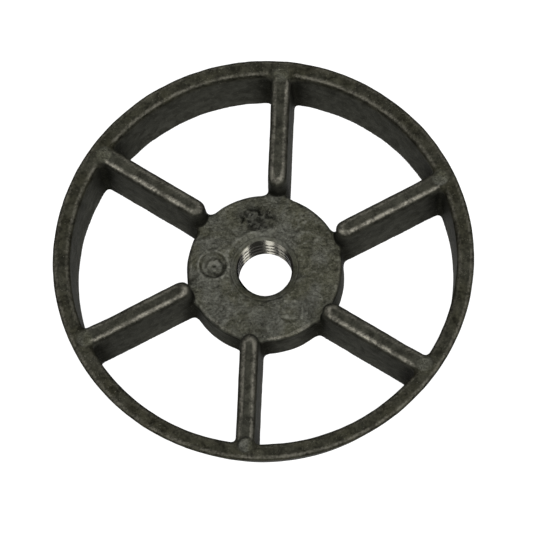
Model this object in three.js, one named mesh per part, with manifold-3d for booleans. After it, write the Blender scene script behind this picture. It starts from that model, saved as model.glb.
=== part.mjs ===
// Six-spoke cast wheel with a threaded hub, in millimetres, +Z up.
//
// The wheel lies on its underside. The origin is on the axis of the threaded hole, at the
// underside. The real wheel is one casting. Here its rim, its hub and its six spokes are
// separate solids, which meet along narrow seams.
//
// Every wall that faces a window narrows towards the top, so that the casting leaves its mould
// upwards. The outer face of the rim is a cone that narrows towards the foot instead.

import * as THREE from "three";
import { mergeVertices } from "three/addons/utils/BufferGeometryUtils.js";
import Module from "manifold-3d";

const wasm = await Module();
wasm.setup();

// ---- Driving dimensions ----

const wheelRadius = 60;
const wheelHeight = 19.5;
const seam = 0.3;
const roundSteps = 3;
const turnSteps = 72;

const rim = {
  topWidth: 5.0,
  footWidth: 1.3,
  footInnerRadius: 53.5,
  outerEdgeRound: 1.2,
  innerEdgeRound: 0.8,
  footRound: 0.3,
};

const hub = {
  topRadius: 22.2,
  footRadius: 22.6,
  height: 10.5,
  edgeRound: 0.6,
};

// The hole is tapped M18 x 2.5. The thread itself is left out: the wall stands at its crests.
const thread = {
  mouthRadius: 9.5,
  minorRadius: 7.65,
  footChamfer: 0.5,
};

const spoke = {
  count: 6,
  topHalfWidth: 2.75,
  footHalfWidth: 3.35,
  crownRound: 1.8,
  topBelowRim: 0.5,
  offset: 2.9, // sideways from the radius, clockwise seen from above
  noseRadius: 22.0, // distance from the axis of the ridge's inner end
};

const castMetal = { color: 0x3a3a33, roughness: 0.55, metalness: 0.6 };

// ---- Shape helpers ----

// One corner of an outline, cut back by round and replaced with a smooth curve.
function roundCorner(before, corner, after, round) {
  if (round === 0) {
    return [corner];
  }
  const start = corner.clone().add(before.clone().sub(corner).setLength(round));
  const end = corner.clone().add(after.clone().sub(corner).setLength(round));
  return new THREE.QuadraticBezierCurve(start, corner, end).getPoints(roundSteps);
}

// An outline through corners given as [across, up, round]. It doesn't repeat its first point.
function roundedOutline(corners) {
  const places = corners.map(([across, up]) => new THREE.Vector2(across, up));
  const count = places.length;
  return corners.flatMap(([, , round = 0], i) => {
    const before = places[(i + count - 1) % count];
    const after = places[(i + 1) % count];
    return roundCorner(before, places[i], after, round);
  });
}

// A ring turned about +Z from corners given as [radius, height, round].
function turnedRing(corners) {
  const outline = roundedOutline(corners);
  const closed = [...outline, outline[0].clone()];
  return new THREE.LatheGeometry(closed, turnSteps).rotateX(Math.PI / 2);
}

function toManifold(geometry) {
  const bare = geometry.clone();
  bare.deleteAttribute("normal");
  bare.deleteAttribute("uv");
  const merged = mergeVertices(bare, 1e-4);
  const mesh = new wasm.Mesh({
    numProp: 3,
    vertProperties: new Float32Array(merged.attributes.position.array),
    triVerts: new Uint32Array(merged.index.array),
  });
  return new wasm.Manifold(mesh);
}

function toGeometry(solid) {
  const mesh = solid.getMesh();
  const geometry = new THREE.BufferGeometry();
  geometry.setAttribute("position", new THREE.BufferAttribute(mesh.vertProperties, 3));
  geometry.setIndex(new THREE.BufferAttribute(mesh.triVerts, 1));
  geometry.computeVertexNormals();
  return geometry;
}

function namedMesh(name, geometry) {
  const mesh = new THREE.Mesh(geometry, new THREE.MeshStandardMaterial(castMetal));
  mesh.name = name;
  return mesh;
}

// ---- Rim ----

const rimInnerTopRadius = wheelRadius - rim.topWidth;

function makeRim() {
  const footOuterRadius = rim.footInnerRadius + rim.footWidth;
  return namedMesh(
    "rim",
    turnedRing([
      [rim.footInnerRadius, 0, rim.footRound],
      [footOuterRadius, 0, rim.footRound],
      [wheelRadius, wheelHeight - rim.outerEdgeRound, rim.outerEdgeRound / 2],
      [wheelRadius, wheelHeight, rim.outerEdgeRound / 2],
      [rimInnerTopRadius, wheelHeight, rim.innerEdgeRound],
    ]),
  );
}

// ---- Hub ----

// The threaded hole has a 45 degree chamfer at both ends: a wide one in the face, from just outside
// the thread's roots to its crests, and a narrow one at the foot.
function makeHub() {
  const mouthChamfer = thread.mouthRadius - thread.minorRadius;
  return namedMesh(
    "hub",
    turnedRing([
      [thread.minorRadius + thread.footChamfer, 0],
      [hub.footRadius, 0],
      [hub.topRadius, hub.height, hub.edgeRound],
      [thread.mouthRadius, hub.height],
      [thread.minorRadius, hub.height - mouthChamfer],
      [thread.minorRadius, thread.footChamfer],
    ]),
  );
}

// ---- Spokes ----

// The room between hub and rim, less a seam at each. Above the hub's face its inner side leans
// inwards a little, and that gives each spoke the steep nose in which its ridge ends.
function makeSpokeRoom() {
  return toManifold(
    turnedRing([
      [hub.footRadius + seam, 0],
      [rim.footInnerRadius - seam, 0],
      [rimInnerTopRadius - seam, wheelHeight],
      [spoke.noseRadius, wheelHeight],
      [hub.topRadius + seam, hub.height],
    ]),
  );
}

// A rib with a crowned top, along +Y and beside the radius.
function makeSpokeBar() {
  const ridge = wheelHeight - spoke.topBelowRim;
  const section = roundedOutline([
    [-spoke.footHalfWidth, 0],
    [spoke.footHalfWidth, 0],
    [spoke.topHalfWidth, ridge, spoke.crownRound],
    [-spoke.topHalfWidth, ridge, spoke.crownRound],
  ]);
  const bar = new THREE.ExtrudeGeometry(new THREE.Shape(section), {
    depth: wheelRadius,
    bevelEnabled: false,
  });
  return toManifold(bar.rotateX(Math.PI / 2).translate(spoke.offset, wheelRadius, 0));
}

function makeSpokes() {
  const geometry = toGeometry(makeSpokeBar().intersect(makeSpokeRoom()));
  return Array.from({ length: spoke.count }, (_, i) => {
    const mesh = namedMesh(`spoke_${i + 1}`, geometry.clone());
    mesh.rotation.z = (i * 2 * Math.PI) / spoke.count;
    return mesh;
  });
}

// ---- The wheel ----

const wheel = new THREE.Group();
wheel.add(makeRim(), makeHub(), ...makeSpokes());

export default wheel;
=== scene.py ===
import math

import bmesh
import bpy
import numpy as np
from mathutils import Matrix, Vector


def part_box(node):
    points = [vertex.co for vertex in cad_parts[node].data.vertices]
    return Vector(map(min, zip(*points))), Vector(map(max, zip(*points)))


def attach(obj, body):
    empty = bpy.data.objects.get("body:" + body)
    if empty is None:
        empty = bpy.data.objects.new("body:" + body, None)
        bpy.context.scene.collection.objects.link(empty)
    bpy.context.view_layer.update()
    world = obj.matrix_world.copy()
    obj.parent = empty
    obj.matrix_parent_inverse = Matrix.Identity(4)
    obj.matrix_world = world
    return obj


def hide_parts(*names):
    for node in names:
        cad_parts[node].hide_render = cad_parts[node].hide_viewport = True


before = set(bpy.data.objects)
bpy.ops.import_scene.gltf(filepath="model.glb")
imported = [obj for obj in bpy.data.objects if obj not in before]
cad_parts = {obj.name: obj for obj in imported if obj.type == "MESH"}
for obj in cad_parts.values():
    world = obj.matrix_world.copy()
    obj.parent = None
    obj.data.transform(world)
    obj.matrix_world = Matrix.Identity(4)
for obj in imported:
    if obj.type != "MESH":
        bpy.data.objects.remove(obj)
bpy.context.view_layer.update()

# The looks of a cast six-spoke wheel with a threaded hub.
#
# The real wheel is one casting. Its whole skin is made here as one mesh, from a formula that gives
# each point's distance to the metal, so that fillets, worn edges and die marks flow from rim to
# spokes to hub. The mesh is then cut where the CAD nodes meet, and each piece stands for its node.
# All lengths are in millimetres until a mesh is handed to Blender, which holds metres.

MM = 0.001
SPOKES = 6
SPOKE_TURN = math.tau / SPOKES


def node_size(node):
    """A node's largest radius and its highest point, in millimetres."""
    _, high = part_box(node)
    return high[0] / MM, high[2] / MM


# ---- Sizes ----

WHEEL_RADIUS, WHEEL_HEIGHT = node_size("rim")
HUB_FOOT_RADIUS, HUB_HEIGHT = node_size("hub")

# Radii, in plan. The rim's outer face is a cone up to RIM_EDGE_DROP below its top.
RIM_INNER_TOP = 55.0
RIM_INNER_FOOT = 53.5
RIM_OUTER_FOOT = 54.8
RIM_EDGE_DROP = 1.2
HUB_TOP_RADIUS = 22.2

SPOKE_RIDGE = WHEEL_HEIGHT - 0.5  # height of the ridges on the spokes
SPOKE_TOP_HALF = 2.75
SPOKE_FOOT_HALF = 3.35
SPOKE_OFFSET = 2.9  # sideways from the radius
SPOKE_LEAN = math.radians(4)  # how far the offset turns a spoke's middle, seen from the axis
RIDGE_RISE_START = 46.0  # from this radius outwards a ridge rises to the rim's height
NOSE_FOOT = 21.6  # how far from the axis a ridge's nose starts, at the height of the hub's face
NOSE_TOP = 22.0

# How far each rounding reaches into the two faces that it joins.
SPOKE_CROWN = 2.0
RIM_CROWN = 1.5
RIM_OUTER_ROUND = 1.5
HUB_EDGE_ROUND = 1.4
NOSE_ROUND = 3.4
FOOT_ROUND = 0.5
HOLE_ROUND = 0.4
WALL_FILLET = 1.7
HUB_FILLET = 2.2

THREAD_MAJOR = 9.0  # radius at the thread's roots
THREAD_MINOR = 7.65  # radius at its crests
THREAD_PITCH = 2.5
THREAD_START = -0.3  # height of the thread's crest on the +X side
FOOT_CHAMFER = 0.5  # round the hole, at the underside
MOUTH_RADIUS = 9.5
MOUTH_LIP = 1.3  # how deep the rounding of the hole's mouth goes
SLEEVE_RADIUS = 9.2  # radius of the casting's plain hole, before SKIN_INSET opens it a little
SLEEVE_OVERLAP = 0.2  # how far the thread's sleeve reaches outwards past that radius
SLEEVE_TOP_DEPTH = 0.5  # where the mouth's chamfer passes from the casting to the thread's sleeve

# Each spoke is cut from the casting by two planes, given by how far along the spoke they lie at
# the wheel's foot and at its top. The one at the hub leans in, under the nose of the ridge.
HUB_CUT = (22.9, 21.2)
RIM_CUT = (53.0, 53.0)
CUT_HALF_WIDTH = 6.0
CUT_SEARCH = 4.0  # faces whose middle is further than this from a cut's foot don't reach the cut

GRID_STEP = 0.475
SKIN_INSET = 0.08  # the bare shape is shrunk by this much, as room for the skin's roughness


# ---- Distances to the metal ----


def smooth_max(a, b, reach):
    """The larger of two distances, with the corner between them rounded over this reach."""
    nearness = np.maximum(reach - np.abs(a - b), 0.0) / reach
    return np.maximum(a, b) + nearness * nearness * reach / 4


def smooth_min(a, b, reach):
    """The smaller of two distances, with a fillet of this reach between them."""
    return -smooth_max(-a, -b, reach)


def smooth_step(low, high, value):
    """0 below low, 1 above high, with a soft passage between."""
    t = np.clip((value - low) / (high - low), 0.0, 1.0)
    return t * t * (3 - 2 * t)


def wall(across, up, foot, top, height):
    """Distance to the right of a straight wall that runs from foot to top."""
    length = math.hypot(top - foot, height)
    return ((across - foot) * height - up * (top - foot)) / length


def spoke_places(x, y):
    """How far along its nearest spoke each point lies, and how far beside the radius."""
    angle = np.arctan2(y, x) - (math.pi / 2 - SPOKE_LEAN)
    turn = np.round(angle / SPOKE_TURN) * SPOKE_TURN
    along = y * np.cos(turn) - x * np.sin(turn)
    beside = x * np.cos(turn) + y * np.sin(turn)
    return along, beside


def envelope_distance(radius, z):
    """The wheel's outer cone with its rounded upper edge, and the plane of its top."""
    outer = wall(radius, z, RIM_OUTER_FOOT, WHEEL_RADIUS, WHEEL_HEIGHT - RIM_EDGE_DROP)
    return smooth_max(outer, z - WHEEL_HEIGHT, RIM_OUTER_ROUND)


def hub_distance(radius, z):
    """The hub's slightly conical outside and the plane of its face."""
    outer = wall(radius, z, HUB_FOOT_RADIUS, HUB_TOP_RADIUS, HUB_HEIGHT)
    return smooth_max(outer, z - HUB_HEIGHT, HUB_EDGE_ROUND)


def rim_inner_wall(radius, z):
    """Distance from the rim's inner wall, positive in the windows."""
    return -wall(radius, z, RIM_INNER_FOOT, RIM_INNER_TOP, WHEEL_HEIGHT)


def spoke_walls(along, beside, z):
    """Distance to the two sides of a spoke, and to the nose in which its ridge ends."""
    half = SPOKE_FOOT_HALF + (SPOKE_TOP_HALF - SPOKE_FOOT_HALF) * z / SPOKE_RIDGE
    side = np.abs(beside - SPOKE_OFFSET) - half
    nose = -wall(along, z - HUB_HEIGHT, NOSE_FOOT, NOSE_TOP, SPOKE_RIDGE - HUB_HEIGHT)
    return smooth_max(side, nose, NOSE_ROUND)


def near_rim(radius):
    """0 along most of a spoke, 1 on the rim."""
    return smooth_step(RIDGE_RISE_START, RIM_INNER_TOP, radius)


def crown(radius):
    """How far the rounding of the upper edges reaches, on the rim and on the spokes' ridges."""
    return SPOKE_CROWN + (RIM_CROWN - SPOKE_CROWN) * near_rim(radius)


def mouth_radius(z):
    """Radius of the hole's mouth: a 45 degree chamfer, rounded off into the hub's face."""
    below = HUB_HEIGHT - z
    lip = np.clip(1 - below / MOUTH_LIP, 0, 1.3)  # 1 level with the face, held just above it
    return MOUTH_RADIUS - below + MOUTH_LIP * lip * lip


def hole_distance(radius, z):
    """Distance into the hub's hole: a cylinder that holds the thread, under a wide mouth."""
    mouth = (mouth_radius(z) - radius) / math.sqrt(2)
    return np.maximum(mouth, SLEEVE_RADIUS - radius)


def casting_distance(p):
    """Distance from each point to the bare shape of the casting, negative inside the metal."""
    x, y, z = p
    radius = np.hypot(x, y)
    along, beside = spoke_places(x, y)
    walls = smooth_min(rim_inner_wall(radius, z), spoke_walls(along, beside, z), WALL_FILLET)
    ridge = SPOKE_RIDGE + (WHEEL_HEIGHT - SPOKE_RIDGE) * near_rim(radius)
    body = smooth_max(walls, z - ridge, crown(radius))
    body = smooth_min(body, hub_distance(radius, z), HUB_FILLET)
    body = np.maximum(body, envelope_distance(radius, z))
    body = smooth_max(body, -z, FOOT_ROUND)
    return smooth_max(body, hole_distance(radius, z), HOLE_ROUND) + SKIN_INSET


# ---- Surface relief ----


def value_noise(p, size, seed):
    """Smooth random values from -1 to 1, with blobs about size across."""
    cells = 64
    lattice = np.random.default_rng(seed).uniform(-1, 1, (cells, cells, cells))
    scaled = [axis / size + cells / 2 for axis in p]
    base = [np.floor(axis).astype(int) for axis in scaled]
    part = [axis - whole for axis, whole in zip(scaled, base)]
    part = [t * t * (3 - 2 * t) for t in part]
    total = np.zeros_like(p[0])
    for corner in np.ndindex(2, 2, 2):
        index = tuple((whole + step) % cells for whole, step in zip(base, corner))
        weight = np.ones_like(p[0])
        for t, step in zip(part, corner):
            weight = weight * (t if step else 1 - t)
        total += weight * lattice[index]
    return total


def disc(distance, radius, edge):
    """1 inside a circle of this radius, falling to 0 over twice edge at its border."""
    return 1 - smooth_step(radius - edge, radius + edge, distance)


def ring(distance, radius, half_width):
    """1 on a circle of this radius, falling to 0 at half_width to either side."""
    return 1 - smooth_step(0, half_width, np.abs(distance - radius))


def turn_between(angle, other):
    """The turn from one direction to the other, the short way round."""
    return np.abs(np.angle(np.exp(1j * (angle - other))))


def turned(point, angle):
    """A place in plan, turned anticlockwise about the wheel's axis."""
    x, y = point
    cosine, sine = math.cos(angle), math.sin(angle)
    return x * cosine - y * sine, x * sine + y * cosine


# Ejector pins of the die have left a round mark where each ridge meets the rim, and three more on
# the hub's face. A mark's height is negative where the pin has sunk it.
RIM_MARK_PLACE = (SPOKE_OFFSET - 0.3, 55.6)
RIM_MARK_RADIUS = 2.15
RIM_MARK_HEIGHTS = (-0.14, -0.18, -0.28, 0.10, -0.2, -0.24)
RIM_MARKS = [
    (turned(RIM_MARK_PLACE, i * SPOKE_TURN), RIM_MARK_RADIUS, height)
    for i, height in enumerate(RIM_MARK_HEIGHTS)
]

# Each mark's place, radius and height.
HUB_MARKS = [
    ((-14.7, 0.5), 3.7, -0.45),
    ((7.8, -12.9), 3.0, -0.25),
    ((7.4, 13.8), 2.8, -0.12),
]

# A cluster of small pits in the hub's face, wider along X than along Y.
PITTED_PLACE = (-2.8, 14.8)
PITTED_REACH = 4.6
PITTED_STRETCH = 1.6

# A low blob of spare metal by one spoke's nose.
BLOB_PLACE = (-4.5, -17.0)
BLOB_RADIUS = 1.5
BLOB_HEIGHT = 0.4

# A low rolled lip round the far side of the hole's mouth.
LIP_RADIUS = 11.6
LIP_HEIGHT = 0.22
LIP_ANGLE = math.radians(125)
LIP_HALF_ANGLE = math.radians(65)


def face_mask(z, height):
    """1 on an upward face at this height, 0 a millimetre below it."""
    return smooth_step(height - 1.0, height - 0.4, z)


def hub_face_mask(p):
    """1 on the hub's face, 0 elsewhere."""
    radius = np.hypot(p[0], p[1])
    level = 1 - smooth_step(0.3, 0.8, np.abs(p[2] - HUB_HEIGHT))
    return level * (1 - smooth_step(HUB_TOP_RADIUS - 0.6, HUB_TOP_RADIUS + 0.6, radius))


def marks_relief(p, marks):
    """Height of pin marks: a flat or sunken disc inside a low ring that stands up."""
    total = np.zeros_like(p[0])
    for (x, y), radius, height in marks:
        away = np.hypot(p[0] - x, p[1] - y)
        total += height * (disc(away, radius, 0.45) - 0.35 * ring(away, radius + 0.6, 0.8))
    return total


def marks_mask(p, marks):
    """1 inside pin marks, 0 elsewhere."""
    total = np.zeros_like(p[0])
    for (x, y), radius, _ in marks:
        total += disc(np.hypot(p[0] - x, p[1] - y), radius, 0.5)
    return total


def pitted_mask(p):
    """1 in the middle of the pitted patch, 0 outside it."""
    away = np.hypot((p[0] - PITTED_PLACE[0]) / PITTED_STRETCH, p[1] - PITTED_PLACE[1])
    return 1 - smooth_step(0.5 * PITTED_REACH, PITTED_REACH, away)


def pits(p):
    """Small craters inside the pitted patch, 1 at their deepest."""
    grain = 0.6 * value_noise(p, 1.2, 11) + 0.5 * value_noise(p, 0.7, 12)
    return smooth_step(-0.12, 0.1, grain) * pitted_mask(p)


def boss_place(p):
    """The distance from the ragged boss's middle, and 1 towards its lower right, -1 opposite."""
    (x, y), _, _ = HUB_MARKS[0]
    across, up = p[0] - x - 0.4, p[1] - y + 0.3
    away = np.hypot(across, up) + 0.5 * value_noise(p, 1.8, 8)
    return away, np.cos(np.arctan2(up, across) + math.radians(40))


def boss_relief(p):
    """The wrinkled boss that stands off the middle of the largest pin mark."""
    _, radius, _ = HUB_MARKS[0]
    away, _ = boss_place(p)
    return disc(away, 0.6 * radius, 0.6) * (0.6 + 0.6 * value_noise(p, 1.6, 4))


def lip_relief(p):
    """Height of the lip round the hole's mouth."""
    radius, angle = np.hypot(p[0], p[1]), np.arctan2(p[1], p[0])
    beside = turn_between(angle, LIP_ANGLE)
    stretch = 1 - smooth_step(0.6 * LIP_HALF_ANGLE, LIP_HALF_ANGLE, beside)
    return LIP_HEIGHT * stretch * ring(radius + 0.5 * value_noise(p, 3.0, 6), LIP_RADIUS, 1.1)


def hub_relief(p):
    """How far the hub's face stands out from its plane."""
    relief = 0.18 * value_noise(p, 3.4, 5) + 0.1 * value_noise(p, 1.3, 3)
    relief += marks_relief(p, HUB_MARKS) + boss_relief(p) + lip_relief(p) - 0.35 * pits(p)
    from_blob = np.hypot(p[0] - BLOB_PLACE[0], p[1] - BLOB_PLACE[1])
    relief += BLOB_HEIGHT * disc(from_blob, BLOB_RADIUS, 0.6)
    return hub_face_mask(p) * relief


def casting_relief(p):
    """How far the cast surface stands out from the bare shape.

    Only the hub's face may rise past its CAD solid, since it lies far below the wheel's top.
    """
    relief = 0.05 * value_noise(p, 5.0, 1) + 0.035 * value_noise(p, 1.6, 2)
    relief += face_mask(p[2], WHEEL_HEIGHT) * marks_relief(p, RIM_MARKS)
    return np.minimum(relief, SKIN_INSET) + hub_relief(p)


def skin_distance(p):
    """Distance to the casting's rough skin."""
    return casting_distance(p) - casting_relief(p)


# ---- Meshing ----


def gradient(distance, p, reach):
    """The direction in which the distance grows, from its differences over this reach."""
    axes = []
    for axis in range(3):
        ahead, behind = p.copy(), p.copy()
        ahead[axis] += reach
        behind[axis] -= reach
        axes.append((distance(ahead) - distance(behind)) / (2 * reach))
    return np.array(axes)


def settle(distance, p, times):
    """Moves points onto the surface where the distance is zero."""
    for _ in range(times):
        slope = gradient(distance, p, 0.02)
        p = p - slope * distance(p) / np.maximum((slope * slope).sum(0), 0.05)
    return p


def grid_distance(distance, low, shape, step):
    """The distance at each corner of a grid, found one slice at a time."""
    axes = [low[i] + step * np.arange(shape[i]) for i in range(3)]
    y, z = np.meshgrid(axes[1], axes[2], indexing="ij")
    return np.array([distance(np.array([np.full_like(y, x), y, z])) for x in axes[0]])


def surface_net(values, low, step):
    """Quads around the zero surface of a grid of distances, with one point in each crossed cell."""
    inside = values < 0
    cells = tuple(n - 1 for n in values.shape)
    filled = np.zeros(cells, int)
    for corner in np.ndindex(2, 2, 2):
        filled += inside[tuple(slice(c, c + n) for c, n in zip(corner, cells))]
    crossed = (filled > 0) & (filled < 8)
    number = np.full(cells, -1)
    number[crossed] = np.arange(crossed.sum())
    places = np.array(np.nonzero(crossed))

    # Each point is the middle of the places where the surface cuts its cell's twelve edges.
    total = np.zeros((3, places.shape[1]))
    count = np.zeros(places.shape[1])
    for axis in range(3):
        for offset in np.ndindex(2, 2):
            start = np.insert(offset, axis, 0)[:, None] + places
            end = start.copy()
            end[axis] += 1
            a, b = values[tuple(start)], values[tuple(end)]
            cut = (a < 0) != (b < 0)
            crossing = start.astype(float)
            crossing[axis] += np.where(cut, a / np.where(cut, a - b, 1.0), 0.0)
            total += crossing * cut
            count += cut
    points = total / count * step + np.array(low)[:, None]

    # Each grid edge that the surface cuts becomes a quad between the four cells around it.
    quads = []
    for axis in range(3):
        u, v = (axis + 1) % 3, (axis + 2) % 3
        a = np.take(inside, range(values.shape[axis] - 1), axis)
        b = np.take(inside, range(1, values.shape[axis]), axis)
        edge = np.array(np.nonzero(a != b))
        around = []
        for du, dv in ((1, 1), (0, 1), (0, 0), (1, 0)):
            cell = edge.copy()
            cell[u] -= du
            cell[v] -= dv
            around.append(number[tuple(cell)])
        around = np.array(around).T
        leaves = a[tuple(edge)][:, None]
        quads.append(np.where(leaves, around, around[:, ::-1]))
    return points, np.concatenate(quads)


def even_out(distance, points, quads, times):
    """Slides points along the surface towards the middle of their neighbours."""
    starts = quads.ravel()
    ends = np.roll(quads, -1, axis=1).ravel()
    here, there = np.concatenate([starts, ends]), np.concatenate([ends, starts])
    count = np.bincount(here)
    for _ in range(times):
        middle = np.array([np.bincount(here, axis[there]) / count for axis in points])
        points = settle(distance, (points + middle) / 2, 1)
    return points


def mesh_of(name, points, faces):
    """A mesh from points in millimetres."""
    mesh = bpy.data.meshes.new(name)
    mesh.from_pydata((points * MM).T.tolist(), [], faces)
    mesh.update()
    return mesh


def mesh_points(mesh):
    flat = np.empty(len(mesh.vertices) * 3)
    mesh.vertices.foreach_get("co", flat)
    return flat.reshape(-1, 3).T / MM


def place_points(mesh, points):
    mesh.vertices.foreach_set("co", (points * MM).T.ravel())
    mesh.update()


def refine(mesh, wanted):
    """Splits each quad in four where wanted, a mask over the mesh's points, is true."""
    shape = bmesh.new()
    shape.from_mesh(mesh)
    shape.verts.ensure_lookup_table()
    edges = [e for e in shape.edges if wanted[e.verts[0].index] and wanted[e.verts[1].index]]
    bmesh.ops.subdivide_edges(shape, edges=edges, cuts=1, use_grid_fill=True)
    shape.to_mesh(mesh)
    shape.free()


def fine_places(p):
    """Where the skin has detail that needs the finer mesh: the hub, and the marks on the rim."""
    on_hub = np.hypot(p[0], p[1]) < HUB_FOOT_RADIUS + 1.5
    on_marks = np.zeros_like(on_hub)
    for (x, y), radius, _ in RIM_MARKS:
        on_marks |= np.hypot(p[0] - x, p[1] - y) < radius + 0.8
    return on_hub | (on_marks & (p[2] > WHEEL_HEIGHT - 1.5))


def whole_casting():
    """The casting's skin as one seamless mesh."""
    margin = 2 * GRID_STEP
    half = WHEEL_RADIUS + margin
    across = math.ceil(2 * half / GRID_STEP) + 1
    up = math.ceil((WHEEL_HEIGHT + 2 * margin) / GRID_STEP) + 1
    low = (-half, -half, -margin)
    values = grid_distance(casting_distance, low, (across, across, up), GRID_STEP)
    points, quads = surface_net(values, low, GRID_STEP)
    points = settle(casting_distance, points, 2)
    points = even_out(casting_distance, points, quads, 4)
    mesh = mesh_of("casting", points, quads.tolist())
    refine(mesh, fine_places(points))
    place_points(mesh, settle(skin_distance, mesh_points(mesh), 3))
    return mesh


# ---- Masks that the cast metal's material reads ----

# The painted shade in the corners between walls reaches this far from them.
CORNER_SHADE_REACH = 7.0

# The hub's edge carries a painted glint over one stretch, made as brighter rubbing there.
HUB_GLINT_ANGLE = math.radians(-75)
HUB_GLINT_HALF_ANGLE = math.radians(24)


def edge_wear(p):
    """0 on flat skin and in hollows, 1 on rounded edges: how sharply the bare shape bends."""
    edge = crown(np.hypot(p[0], p[1]))
    reach = 0.7 * edge

    # At a rounded edge the six places around this one lie further out, taken together, than it does.
    bend = -6 * casting_distance(p)
    for axis in range(3):
        for side in (-reach, reach):
            beside = p.copy()
            beside[axis] += side
            bend += casting_distance(beside)
    return smooth_step(0.64, 0.96, bend * edge / reach**2)


def lit_side(p):
    """1 on edges that face upwards and to -Y, towards the front lamps, less elsewhere: there the bright
    rubbed metal is a painted highlight.
    """
    _, to_y, to_z = gradient(casting_distance, p, 0.5)
    return (1 - 0.7 * smooth_step(-0.4, 0.35, to_y)) * smooth_step(0.4, 0.8, to_z)


def rubbing_and_highlight(p):
    """How much each place is rubbed bright, with a painted highlight on edges towards -Y: the ridges
    most, the rim less, the hub hardly at all.
    """
    radius = np.hypot(p[0], p[1])
    on_rim = smooth_step(RIM_INNER_TOP - 1.0, RIM_INNER_TOP + 1.0, radius)
    on_hub = 1 - smooth_step(HUB_HEIGHT + 1.0, HUB_HEIGHT + 4.0, p[2])
    off_mouth = smooth_step(MOUTH_RADIUS + 1.5, MOUTH_RADIUS + 2.5, radius)
    # A painted glint on one stretch of the hub's edge.
    from_glint = turn_between(np.arctan2(p[1], p[0]), HUB_GLINT_ANGLE)
    on_hub *= 0.4 + 0.6 * smooth_step(0.5 * HUB_GLINT_HALF_ANGLE, HUB_GLINT_HALF_ANGLE, from_glint)
    return (1 - 0.6 * on_rim) * (1 - 0.75 * on_hub) * off_mouth * lit_side(p)


def shaded_relief(p):
    """Above 0.5 where the hub's face is paler, below 0.5 where darker: random rubbing and dirt, with
    painted light and shade on the mouth's lip, round the marks and on the boss.
    """
    shade = 0.14 * value_noise(p, 1.6, 3) + 0.2 * value_noise(p, 0.7, 7) + lip_relief(p)
    # Round each sunken mark: a paler disc, a painted shade line just inside its edge and a painted
    # highlight just outside.
    for (x, y), radius, height in HUB_MARKS:
        away = np.hypot(p[0] - x, p[1] - y)
        shade += 0.12 * disc(away, radius, 0.5) + 0.7 * height * ring(away, radius - 0.2, 0.6)
        shade -= 0.5 * height * ring(away, radius + 0.7, 0.7)

    # Painted shade lies along the lower right side of the largest mark's boss, and a painted highlight
    # on the other.
    _, radius, _ = HUB_MARKS[0]
    away, lower_right = boss_place(p)
    shade -= 0.5 * ring(away, 0.68 * radius, 0.9) * np.clip(0.25 + lower_right, 0, 1)
    shade += 0.35 * disc(away, 0.42 * radius, 0.9) * (0.5 + 2 * value_noise(p, 1.1, 9))
    return 0.5 + shade * hub_face_mask(p)


def corner_shade(p):
    """How much painted shade each place gets in the corners: most where a spoke's wall meets the rim's
    or the hub's.
    """
    x, y, z = p
    radius = np.hypot(x, y)
    from_rim = rim_inner_wall(radius, z)
    from_spoke = spoke_walls(*spoke_places(x, y), z)
    from_hub = hub_distance(radius, z)
    second_nearest = np.sort([from_rim, from_spoke, from_hub], axis=0)[1]
    below_ridge = 1 - smooth_step(WHEEL_HEIGHT - 3.5, WHEEL_HEIGHT - 1.5, z)
    inside_rim = smooth_step(-0.9, -0.2, from_rim)
    return below_ridge * inside_rim * (1 - smooth_step(0, CORNER_SHADE_REACH, second_nearest))


def skin_masks(p):
    """The values from 0 to 1 that the cast metal's material reads at each point of the skin."""
    on_hub = hub_face_mask(p)
    rim_marks = marks_mask(p, RIM_MARKS) * face_mask(p[2], WHEEL_HEIGHT)
    on_ridges = 1 - smooth_step(RIM_INNER_TOP - 1.0, RIM_INNER_TOP, np.hypot(p[0], p[1]))
    high = smooth_step(WHEEL_HEIGHT - 3.0, WHEEL_HEIGHT - 1.0, p[2])
    return {
        # Rubbed edges, made brighter as a painted highlight where they face upwards and to -Y.
        "wear_and_highlight": edge_wear(p) * rubbing_and_highlight(p),
        "rust": (1 - rim_marks) * (1 - 0.5 * on_ridges) * high,
        "pale": np.clip(on_hub + rim_marks, 0, 1),
        # Painted light and shade on the hub's relief, among random paler and darker patches.
        "tone_and_relief_shade": shaded_relief(p),
        # Painted shade in the corners.
        "corner_shade": corner_shade(p) * (1 - on_hub),
        "pitted": on_hub * (0.35 * pitted_mask(p) + 0.65 * pits(p)),
    }


def write_masks(mesh, masks):
    for name, values in masks.items():
        layer = mesh.attributes.new(name, "FLOAT", "POINT")
        layer.data.foreach_set("value", np.clip(values, 0, 1).astype(np.float32))


# ---- Cutting the casting into its pieces ----


def spoke_axes(i):
    """A spoke's direction from the hub, and the direction in which it is offset."""
    angle = math.pi / 2 + i * SPOKE_TURN
    return (
        Vector((math.cos(angle), math.sin(angle), 0)),
        Vector((math.sin(angle), -math.cos(angle), 0)),
    )


def spoke_place(place, i):
    """A place in metres as millimetres along spoke i, beside its middle, and up."""
    outward, sideways = spoke_axes(i)
    return place.dot(outward) / MM, abs(place.dot(sideways) / MM - SPOKE_OFFSET), place.z / MM


def score_cuts(shape):
    """Adds an edge loop round every spoke at both of its ends."""
    for i in range(SPOKES):
        outward, _ = spoke_axes(i)
        for foot, top in (HUB_CUT, RIM_CUT):
            faces = []
            for face in shape.faces:
                along, beside, _ = spoke_place(face.calc_center_median(), i)
                if abs(along - foot) < CUT_SEARCH and beside < CUT_HALF_WIDTH:
                    faces.append(face)
            edges = {e for f in faces for e in f.edges}
            corners = {v for f in faces for v in f.verts}
            bmesh.ops.bisect_plane(
                shape,
                geom=[*faces, *edges, *corners],
                dist=1e-7,
                plane_co=outward * foot * MM,
                plane_no=outward * WHEEL_HEIGHT + Vector((0, 0, foot - top)),
            )


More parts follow.
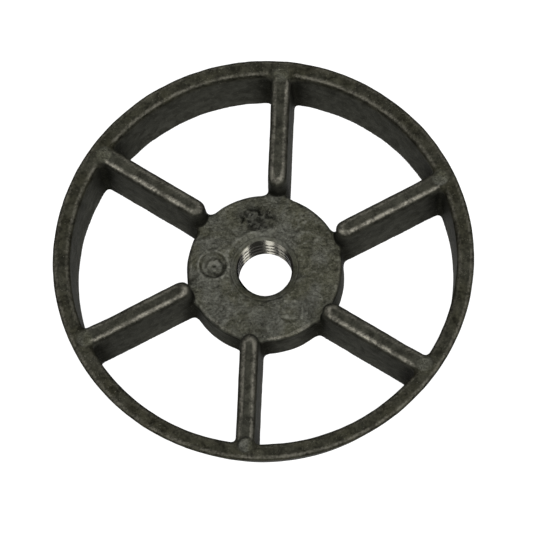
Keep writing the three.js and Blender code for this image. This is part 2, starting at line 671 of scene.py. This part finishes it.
def region_of(place):
    """Which piece a face belongs to, by its middle: 0 rim, 1 hub, 2 and up the spokes."""
    for i in range(SPOKES):
        along, beside, up = spoke_place(place, i)
        inner, outer = (foot + (top - foot) * up / WHEEL_HEIGHT for foot, top in (HUB_CUT, RIM_CUT))
        if inner < along < outer and beside < CUT_HALF_WIDTH:
            return 2 + i
    return 1 if place.to_2d().length / MM < (HUB_CUT[0] + RIM_CUT[0]) / 2 else 0


def closed_piece(name, points, faces, normals):
    """A mesh of these skin faces with flat caps over its cuts, shaded by the skin's normals."""
    mesh = mesh_of(name, points, faces)
    shape = bmesh.new()
    shape.from_mesh(mesh)
    cuts = [e for e in shape.edges if e.is_boundary]
    for edge in cuts:
        edge.smooth = False
    caps = bmesh.ops.holes_fill(shape, edges=cuts, sides=0)["faces"]
    bmesh.ops.triangulate(shape, faces=caps)
    bmesh.ops.recalc_face_normals(shape, faces=shape.faces)
    shape.to_mesh(mesh)
    shape.free()

    corners = np.empty(len(mesh.loops), int)
    mesh.loops.foreach_get("vertex_index", corners)
    shading = normals.T[corners]
    for cap in mesh.polygons[len(faces) :]:
        shading[cap.loop_start : cap.loop_start + cap.loop_total] = cap.normal
    mesh.polygons.foreach_set("use_smooth", np.ones(len(mesh.polygons), bool))
    mesh.normals_split_custom_set(shading)
    return mesh


def cut_casting(casting, names):
    """One closed mesh for each name, cut from the casting where its nodes meet."""
    shape = bmesh.new()
    shape.from_mesh(casting)
    score_cuts(shape)
    shape.verts.index_update()
    faces = [[v.index for v in face.verts] for face in shape.faces]
    regions = np.array([region_of(face.calc_center_median()) for face in shape.faces])
    points = np.array([v.co for v in shape.verts]).T / MM
    shape.free()

    normals = gradient(skin_distance, points, 0.1)
    normals /= np.linalg.norm(normals, axis=0)
    masks = skin_masks(points)
    meshes = []
    for i, name in enumerate(names):
        chosen = [faces[j] for j in np.nonzero(regions == i)[0]]
        used, numbers = np.unique(np.concatenate(chosen), return_inverse=True)
        ends = np.cumsum([len(face) for face in chosen])[:-1]
        own_faces = [part.tolist() for part in np.split(numbers, ends)]
        mesh = closed_piece(name, points[:, used], own_faces, normals[:, used])
        write_masks(mesh, {mask: values[used] for mask, values in masks.items()})
        meshes.append(mesh)
    return meshes


def add_piece(mesh, replaced_node, material):
    """Puts a mesh into the scene as a piece that rides on the wheel's one body."""
    mesh.materials.append(material)
    piece = bpy.data.objects.new(mesh.name, mesh)
    bpy.context.scene.collection.objects.link(piece)
    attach(piece, "root")
    if replaced_node:
        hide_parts(replaced_node)


# ---- The hub's thread ----

# Burrs hang into the hole from the first turn of the thread, at these angles.
BURR_ANGLES = (math.radians(-125), math.radians(-52))
BURR_DEPTH = 0.6
BURR_HALF_ANGLE = math.radians(40)


def burrs(angle, z):
    """How far the burrs stand into the hole."""
    total = np.zeros_like(angle)
    for middle in BURR_ANGLES:
        total += 1 - smooth_step(0, BURR_HALF_ANGLE, turn_between(angle, middle))
    return BURR_DEPTH * total * smooth_step(HUB_HEIGHT - 4.0, HUB_HEIGHT - 2.6, z)


def thread_radius(angle, z):
    """Radius of an internal 60 degree thread, opened by a chamfer at both ends.

    Flat crests take up a quarter of its pitch, and flat roots an eighth.
    """
    turns = (z - THREAD_START) / THREAD_PITCH - angle / math.tau
    from_crest = np.abs(turns - np.round(turns))
    depth = np.clip((from_crest - 1 / 8) / (7 / 16 - 1 / 8), 0, 1)
    crest = THREAD_MINOR - burrs(angle, z)
    profile = crest + (THREAD_MAJOR - crest) * depth
    mouth = mouth_radius(z) + SKIN_INSET
    chamfered = np.maximum(mouth, THREAD_MINOR + FOOT_CHAMFER - z)
    return np.maximum(profile, chamfered)


def thread_mesh(name):
    """A closed sleeve: the thread inside, a plain cylinder outside."""
    around, rows = 240, 120
    low, high = SKIN_INSET, HUB_HEIGHT - SLEEVE_TOP_DEPTH
    angle = math.tau * np.arange(around) / around
    levels = np.linspace(low, high, rows)
    radii = [thread_radius(angle, z) for z in levels]
    outer = np.full(around, SLEEVE_RADIUS + SLEEVE_OVERLAP)
    radii += [outer, outer]
    levels = [*levels, high, low]
    rings = [
        np.array([radius * np.cos(angle), radius * np.sin(angle), np.full(around, z)])
        for radius, z in zip(radii, levels)
    ]
    points = np.concatenate(rings, axis=1)
    count = len(levels)
    faces = [
        (
            i * around + j,
            (i + 1) % count * around + j,
            (i + 1) % count * around + (j + 1) % around,
            i * around + (j + 1) % around,
        )
        for i in range(count)
        for j in range(around)
    ]
    mesh = mesh_of(name, points, faces)
    mesh.shade_smooth()
    mesh.set_sharp_from_angle(angle=math.radians(40))
    return mesh


# ---- Materials ----

# Colours in linear light. Where there are two, the surface is mottled between them.
DARK_SKIN = ((0.023, 0.023, 0.0185), (0.053, 0.053, 0.044))
RUSTY_SKIN = ((0.009, 0.0088, 0.0058), (0.043, 0.0415, 0.028))
OLIVE_FACE = ((0.042, 0.042, 0.029), (0.090, 0.089, 0.065))
GREY_FACE = ((0.052, 0.052, 0.042), (0.108, 0.109, 0.092))
OILED_METAL = ((0.045, 0.043, 0.036), (0.085, 0.082, 0.071))
CORNER_SHADE_COLOUR = (0.007, 0.007, 0.005)
DIRT_AND_SHADE = (0.010, 0.010, 0.007)
PIT_DARK = (0.004, 0.004, 0.003)
RUB_AND_HIGHLIGHT = (0.20, 0.20, 0.17)
GLINT_SPECKS = (0.14, 0.135, 0.11)
WORN_METAL_AND_HIGHLIGHT = (0.38, 0.36, 0.30)

# The dark cast skin is only part metal, and its tint keeps it dull where it is seen at a slant.
CAST_METALLIC = 0.45
CAST_TINT = 0.45
WORN_METALLIC = 0.85

# The mouth's chamfer keeps the cast skin down to one depth below the face, and has lost it all at
# the other.
SKIN_WHOLE_DEPTH = 1.4
SKIN_GONE_DEPTH = 1.7

# Bump depths, in millimetres.
FACE_BUMP = 0.9
GRAIN_BUMP = 0.1
SPECK_BUMP = 0.05
LINES_BUMP = 0.01


class Shading:
    """Short calls for building one material's nodes. Sizes are in millimetres."""

    def __init__(self, name):
        self.material = bpy.data.materials.new(name)
        self.material.use_nodes = True
        self.tree = self.material.node_tree
        self.surface = self.tree.nodes["Principled BSDF"]
        self.place = self.tree.nodes.new("ShaderNodeTexCoord").outputs["Object"]

    def node(self, kind, inputs=(), **settings):
        """A new node with these inputs and settings."""
        made = self.tree.nodes.new(kind)
        for name, value in settings.items():
            setattr(made, name, value)
        for socket, value in dict(inputs).items():
            self.put(made.inputs[socket], value)
        return made

    def put(self, socket, value):
        """Links another node's output to a socket, or sets the socket to a constant."""
        if isinstance(value, bpy.types.NodeSocket):
            self.tree.links.new(value, socket)
        elif isinstance(value, tuple) and len(value) == 3 and socket.type == "RGBA":
            socket.default_value = (*value, 1)
        else:
            socket.default_value = value

    def mute_grazing(self):
        """Takes the white sheen off surfaces that are seen at a slant."""
        self.put(self.surface.inputs["Specular Tint"], (CAST_TINT, CAST_TINT, CAST_TINT))
        self.put(self.surface.inputs["Specular IOR Level"], 0.0)

    def noise(self, size, detail=2.0, warp=0.0, stretch=(1, 1, 1)):
        """Random values around a half, in blobs about size across."""
        place = self.node(
            "ShaderNodeMapping", {"Vector": self.place, "Scale": stretch}
        ).outputs["Vector"]
        inputs = {"Vector": place, "Scale": 1 / (size * MM), "Detail": detail, "Distortion": warp}
        return self.node("ShaderNodeTexNoise", inputs).outputs["Fac"]

    def ramp(self, value, low, high, to_low=0.0, to_high=1.0):
        """A soft passage from to_low, where the value is low, to to_high, where it is high."""
        inputs = {
            "Value": value,
            "From Min": low,
            "From Max": high,
            "To Min": to_low,
            "To Max": to_high,
        }
        made = self.node("ShaderNodeMapRange", inputs, interpolation_type="SMOOTHSTEP")
        return made.outputs["Result"]

    def maths(self, operation, a, b):
        return self.node("ShaderNodeMath", {0: a, 1: b}, operation=operation).outputs[0]

    def times(self, a, b):
        return self.maths("MULTIPLY", a, b)

    def plus(self, a, b):
        return self.maths("ADD", a, b)

    def mix(self, factor, a, b):
        """Colour a where the factor is 0, and b where it is 1."""
        made = self.node("ShaderNodeMix", data_type="RGBA")
        self.put(made.inputs["Factor"], factor)
        self.put(made.inputs[6], a)  # the colour sockets A, B and Result
        self.put(made.inputs[7], b)
        return made.outputs[2]

    def mask(self, name):
        """A value that skin_masks has stored in the mesh."""
        return self.node("ShaderNodeAttribute", attribute_name=name).outputs["Fac"]

    def bump(self, height, depth, below=None):
        """A finely bumped surface, on top of the bumps below."""
        inputs = {"Height": height, "Distance": depth * MM, "Strength": 1.0}
        if below is not None:
            inputs["Normal"] = below
        return self.node("ShaderNodeBump", inputs).outputs["Normal"]


def face_skin(look):
    """The paler cast skin of the hub's face, for both materials that show it."""
    cloud = look.ramp(look.noise(8, 2, 0.5), 0.36, 0.64)
    patch = look.noise(2.2, 4, 0.5)
    grain = look.noise(0.6, 3)
    mottle = look.ramp(look.plus(look.times(patch, 0.5), look.times(grain, 0.5)), 0.34, 0.66)
    return look.mix(cloud, look.mix(mottle, *OLIVE_FACE), look.mix(mottle, *GREY_FACE))


def cast_metal():
    """Dark mottled skin, brown up on the rim and ridges, paler on the hub, rubbed bright on edges, with
    painted light and shade.
    """
    look = Shading("cast_metal")
    wear_and_highlight, rust, pale = look.mask("wear_and_highlight"), look.mask("rust"), look.mask("pale")
    pitted, tone_and_relief_shade, painted_corner_shade = look.mask("pitted"), look.mask("tone_and_relief_shade"), look.mask("corner_shade")
    broad = look.noise(9, 3, 0.4)
    patch = look.noise(2.8, 4, 0.6)
    grain = look.noise(0.8, 3)
    speck = look.noise(0.35, 2)
    mottle = look.ramp(look.plus(look.times(patch, 0.6), look.times(grain, 0.4)), 0.32, 0.68)

    rusted = look.times(rust, look.ramp(broad, 0.3, 0.7, 0.6, 1))
    colour = look.mix(rusted, look.mix(mottle, *DARK_SKIN), look.mix(mottle, *RUSTY_SKIN))
    # Painted shade darkens the corners between the spokes, the rim and the hub.
    colour = look.mix(look.times(painted_corner_shade, 0.85), colour, CORNER_SHADE_COLOUR)
    colour = look.mix(pale, colour, face_skin(look))

    # Darker and paler patches on the hub's face, partly dirt and rubbing, partly painted shade and
    # painted highlight on its relief, then darker pits and pale specks.
    colour = look.mix(look.ramp(tone_and_relief_shade, 0.15, 0.5, 0.75, 0), colour, DIRT_AND_SHADE)
    colour = look.mix(look.ramp(tone_and_relief_shade, 0.53, 0.85, 0, 0.6), colour, RUB_AND_HIGHLIGHT)
    # The pitted patch and its pits are darker.
    colour = look.mix(look.times(pitted, 0.95), colour, PIT_DARK)
    # Pale specks all over are painted glints.
    colour = look.mix(look.ramp(speck, 0.64, 0.74, 0, 0.6), colour, GLINT_SPECKS)

    # Edges are rubbed through the skin to brighter and smoother metal, in scuffs. Towards -Y and
    # upwards this bright metal is also a painted highlight.
    scuffed = look.plus(look.times(look.noise(4, 2), 0.5), look.times(grain, 0.5))
    worn_and_lit = look.times(wear_and_highlight, look.ramp(scuffed, 0.4, 0.62, 0.2, 0.85))
    colour = look.mix(look.times(worn_and_lit, 0.9), colour, WORN_METAL_AND_HIGHLIGHT)

    look.put(look.surface.inputs["Base Color"], colour)
    look.put(look.surface.inputs["Metallic"], look.ramp(worn_and_lit, 0, 1, CAST_METALLIC, WORN_METALLIC))
    look.mute_grazing()
    rough = look.ramp(grain, 0.3, 0.7, 0.40, 0.56)
    look.put(look.surface.inputs["Roughness"], look.maths("SUBTRACT", rough, look.times(worn_and_lit, 0.22)))
    fine = look.bump(speck, SPECK_BUMP)
    wrinkles = look.plus(look.times(patch, 0.5), look.times(grain, 0.5))
    wrinkled = look.bump(look.times(wrinkles, pale), FACE_BUMP, fine)
    look.put(look.surface.inputs["Normal"], look.bump(grain, GRAIN_BUMP, wrinkled))
    return look.material


def machined_thread():
    """Oiled, darkened metal with turning lines, and the cast skin on the mouth's chamfer."""
    look = Shading("machined_thread")
    lines = look.noise(0.5, 3, 0, (0.05, 0.05, 4))
    stain = look.noise(3, 3, 0.5)
    height = look.node("ShaderNodeSeparateXYZ", {"Vector": look.place}).outputs["Z"]
    mouth = look.ramp(height, (HUB_HEIGHT - SKIN_GONE_DEPTH) * MM, (HUB_HEIGHT - SKIN_WHOLE_DEPTH) * MM)
    oiled = look.mix(look.ramp(lines, 0.3, 0.7), *OILED_METAL)
    look.put(look.surface.inputs["Base Color"], look.mix(mouth, oiled, face_skin(look)))
    look.put(look.surface.inputs["Metallic"], look.ramp(mouth, 0, 1, 1.0, CAST_METALLIC))
    look.mute_grazing()
    rough = look.ramp(stain, 0.3, 0.7, 0.14, 0.22)
    look.put(look.surface.inputs["Roughness"], look.plus(rough, look.times(mouth, 0.35)))
    look.put(look.surface.inputs["Normal"], look.bump(lines, LINES_BUMP))
    return look.material


# ---- The studio ----

# Sizes and distances here are in metres, and powers in watts.
FLOOR_GLOW = 1.0
FLOOR_HALF = 3.0
FLOOR_LEVEL = -0.0002
WORLD_STRENGTH = 0.2

# Each softbox: its name, azimuth, elevation, size and power. All stand equally far away.
SOFTBOX_DISTANCE = 1.3
SOFTBOXES = [
    ("key_right", 68, 44, (0.35, 0.6), 7),
    ("key_left", -9, 48, (0.35, 0.6), 6),
    ("fill_left", -45, 44, (0.35, 0.6), 3),
    ("overhead", 180, 72, (0.9, 0.9), 6),
]

# The camera looks down at the middle of the rim's top from the wheel's near side, and is rolled
# a little clockwise. Its aim is off the middle by the two nudges. Its lengths are in millimetres.
CAMERA_AZIMUTH = 9.28
CAMERA_ELEVATION = 71.2
CAMERA_ROLL = 7.28
CAMERA_DISTANCE = 2000
CAMERA_LENS = 475.9
CAMERA_NUDGE = (0.965, -2.45)


def floor_material():
    """Glows white, so that the ground behind the wheel is plain white."""
    look = Shading("white_floor")
    look.put(look.surface.inputs["Base Color"], (0.2, 0.2, 0.2))
    look.put(look.surface.inputs["Roughness"], 0.9)
    look.put(look.surface.inputs["Emission Color"], (1, 1, 1))
    look.put(look.surface.inputs["Emission Strength"], FLOOR_GLOW)
    return look.material


def add_floor():
    signs = [(-1, -1), (1, -1), (1, 1), (-1, 1)]
    corners = [(x * FLOOR_HALF, y * FLOOR_HALF, FLOOR_LEVEL) for x, y in signs]
    mesh = bpy.data.meshes.new("floor")
    mesh.from_pydata(corners, [], [(0, 1, 2, 3)])
    mesh.materials.append(floor_material())
    floor = bpy.data.objects.new("floor", mesh)
    bpy.context.scene.collection.objects.link(floor)


def direction(azimuth, elevation):
    """A unit vector, with azimuth counted from -Y towards +X."""
    turn, climb = math.radians(azimuth), math.radians(elevation)
    level = math.cos(climb)
    return Vector((math.sin(turn) * level, -math.cos(turn) * level, math.sin(climb)))


def add_softbox(name, azimuth, elevation, size, power):
    """An area light that faces the wheel's origin."""
    light = bpy.data.lights.new(name, "AREA")
    light.shape = "RECTANGLE"
    light.size, light.size_y = size
    light.energy = power
    box = bpy.data.objects.new(name, light)
    away = direction(azimuth, elevation)
    box.location = away * SOFTBOX_DISTANCE
    box.rotation_euler = away.to_track_quat("Z", "Y").to_euler()
    bpy.context.scene.collection.objects.link(box)


def add_world():
    world = bpy.data.worlds.new("studio")
    world.use_nodes = True
    world.node_tree.nodes["Background"].inputs["Color"].default_value = (1, 1, 1, 1)
    world.node_tree.nodes["Background"].inputs["Strength"].default_value = WORLD_STRENGTH
    bpy.context.scene.world = world


def add_camera():
    towards = direction(CAMERA_AZIMUTH, CAMERA_ELEVATION)
    level = towards.to_track_quat("Z", "Y")
    turn = level @ Matrix.Rotation(-math.radians(CAMERA_ROLL), 3, "Z").to_quaternion()
    right, up = turn @ Vector((1, 0, 0)), turn @ Vector((0, 1, 0))
    aim = Vector((0, 0, WHEEL_HEIGHT)) + right * CAMERA_NUDGE[0] + up * CAMERA_NUDGE[1]
    data = bpy.data.cameras.new("camera")
    data.lens = CAMERA_LENS
    data.clip_end = 10
    camera = bpy.data.objects.new("camera", data)
    camera.rotation_mode = "QUATERNION"
    camera.rotation_quaternion = turn
    camera.location = (aim + towards * CAMERA_DISTANCE) * MM
    bpy.context.scene.collection.objects.link(camera)
    bpy.context.scene.camera = camera


# ---- The whole picture ----


def main():
    nodes = ["rim", "hub"] + [f"spoke_{i + 1}" for i in range(SPOKES)]
    casting = whole_casting()
    cast = cast_metal()
    for mesh, node in zip(cut_casting(casting, [f"{node}_casting" for node in nodes]), nodes):
        add_piece(mesh, node, cast)
    bpy.data.meshes.remove(casting)
    add_piece(thread_mesh("hub_thread"), None, machined_thread())

    add_floor()
    add_world()
    for softbox in SOFTBOXES:
        add_softbox(*softbox)
    add_camera()
    bpy.context.scene.view_settings.view_transform = "Standard"


main()
